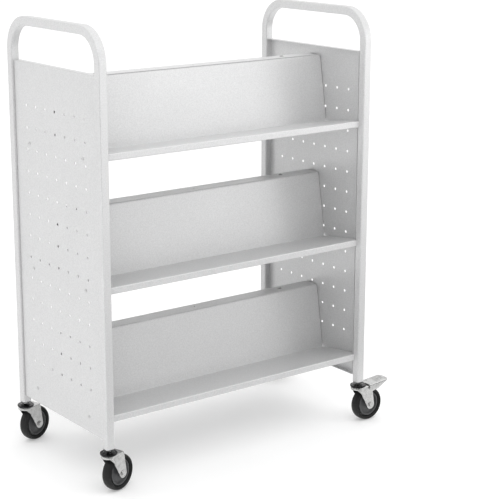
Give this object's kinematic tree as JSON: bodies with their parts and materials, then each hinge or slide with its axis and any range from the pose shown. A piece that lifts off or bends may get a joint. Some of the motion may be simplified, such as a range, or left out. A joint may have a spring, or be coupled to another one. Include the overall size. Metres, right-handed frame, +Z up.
{
  "type": "book cart",
  "caption": "Double-sided rolling book cart with perforated end panels, bent-tube handles, sloped shelves back to back and swivel casters, some with a brake pedal.",
  "frame": {"origin": "middle of the footprint, on the floor", "axes": "+Z up, X along the shelves, -Y towards the front shelves, +X towards the end with the braked casters"},
  "size_m": [1.019, 0.52, 1.25],
  "materials": {
    "powder_coat": "satin silver-grey powder coat with a fine texture",
    "zinc_plate": "bright zinc plate",
    "dark_steel": "blackened steel",
    "black_rubber": "matt black rubber",
    "grey_hub": "matt dark grey moulding",
    "black_plastic": "matt black moulding"
  },
  "bodies": {
    "frame": {"end_tube_left": "powder_coat", "end_tube_right": "powder_coat", "end_panel_left": "powder_coat", "end_panel_right": "powder_coat", "bottom_shelf_front": "powder_coat", "bottom_shelf_rear": "powder_coat", "middle_shelf_front": "powder_coat", "middle_shelf_rear": "powder_coat", "top_shelf_front": "powder_coat", "top_shelf_rear": "powder_coat", "shelf_screw_bottom_front_left": "powder_coat", "shelf_screw_bottom_front_right": "powder_coat", "shelf_screw_bottom_rear_left": "powder_coat", "shelf_screw_bottom_rear_right": "powder_coat", "shelf_screw_middle_front_left": "powder_coat", "shelf_screw_middle_front_right": "powder_coat", "shelf_screw_middle_rear_left": "powder_coat", "shelf_screw_middle_rear_right": "powder_coat", "shelf_screw_top_front_left": "powder_coat", "shelf_screw_top_front_right": "powder_coat", "shelf_screw_top_rear_left": "powder_coat", "shelf_screw_top_rear_right": "powder_coat", "front_left_leg_plug": "black_plastic", "front_left_stem": "zinc_plate", "front_left_bearing_cap": "dark_steel", "rear_left_leg_plug": "black_plastic", "rear_left_stem": "zinc_plate", "rear_left_bearing_cap": "dark_steel", "front_right_leg_plug": "black_plastic", "front_right_stem": "zinc_plate", "front_right_bearing_cap": "dark_steel", "rear_right_leg_plug": "black_plastic", "rear_right_stem": "zinc_plate", "rear_right_bearing_cap": "dark_steel"},
    "front_left_caster": {"front_left_fork": "zinc_plate", "front_left_axle_bolt": "zinc_plate", "front_left_axle_nut": "zinc_plate"},
    "front_left_wheel": {"front_left_hub": "grey_hub", "front_left_tyre": "black_rubber"},
    "rear_left_caster": {"rear_left_fork": "zinc_plate", "rear_left_axle_bolt": "zinc_plate", "rear_left_axle_nut": "zinc_plate"},
    "rear_left_wheel": {"rear_left_hub": "grey_hub", "rear_left_tyre": "black_rubber"},
    "front_right_caster": {"front_right_fork": "zinc_plate", "front_right_axle_bolt": "zinc_plate", "front_right_axle_nut": "zinc_plate", "front_right_pedal_pin": "zinc_plate"},
    "front_right_wheel": {"front_right_hub": "grey_hub", "front_right_tyre": "black_rubber"},
    "front_right_pedal": {"front_right_brake_pedal": "zinc_plate"},
    "rear_right_caster": {"rear_right_fork": "zinc_plate", "rear_right_axle_bolt": "zinc_plate", "rear_right_axle_nut": "zinc_plate", "rear_right_pedal_pin": "zinc_plate"},
    "rear_right_wheel": {"rear_right_hub": "grey_hub", "rear_right_tyre": "black_rubber"},
    "rear_right_pedal": {"rear_right_brake_pedal": "zinc_plate"}
  },
  "joints": [
    {"name": "front_left_swivel", "type": "hinge", "parent": "frame", "child": "front_left_caster", "pos_m": [-0.4855, -0.23425, 0.112], "axis": [0, 0, 1], "continuous": true},
    {"name": "front_left_wheel_spin", "type": "hinge", "parent": "front_left_caster", "child": "front_left_wheel", "pos_m": [-0.45221, -0.22343, 0.0508], "axis": [-0.309, 0.9511, 0], "continuous": true},
    {"name": "rear_left_swivel", "type": "hinge", "parent": "frame", "child": "rear_left_caster", "pos_m": [-0.4855, 0.22075, 0.112], "axis": [0, 0, 1], "continuous": true},
    {"name": "rear_left_wheel_spin", "type": "hinge", "parent": "rear_left_caster", "child": "rear_left_wheel", "pos_m": [-0.45221, 0.23157, 0.0508], "axis": [-0.309, 0.9511, 0], "continuous": true},
    {"name": "front_right_swivel", "type": "hinge", "parent": "frame", "child": "front_right_caster", "pos_m": [0.4045, -0.23425, 0.112], "axis": [0, 0, 1], "continuous": true},
    {"name": "front_right_wheel_spin", "type": "hinge", "parent": "front_right_caster", "child": "front_right_wheel", "pos_m": [0.4395, -0.23425, 0.0508], "axis": [0, 1, 0], "continuous": true},
    {"name": "front_right_brake", "type": "hinge", "parent": "front_right_caster", "child": "front_right_pedal", "pos_m": [0.4345, -0.23425, 0.1058], "axis": [0, 1, 0], "range_deg": [0, 10]},
    {"name": "rear_right_swivel", "type": "hinge", "parent": "frame", "child": "rear_right_caster", "pos_m": [0.4045, 0.22075, 0.112], "axis": [0, 0, 1], "continuous": true},
    {"name": "rear_right_wheel_spin", "type": "hinge", "parent": "rear_right_caster", "child": "rear_right_wheel", "pos_m": [0.4395, 0.22075, 0.0508], "axis": [0, 1, 0], "continuous": true},
    {"name": "rear_right_brake", "type": "hinge", "parent": "rear_right_caster", "child": "rear_right_pedal", "pos_m": [0.4345, 0.22075, 0.1058], "axis": [0, 1, 0], "range_deg": [0, 10]}
  ]
}
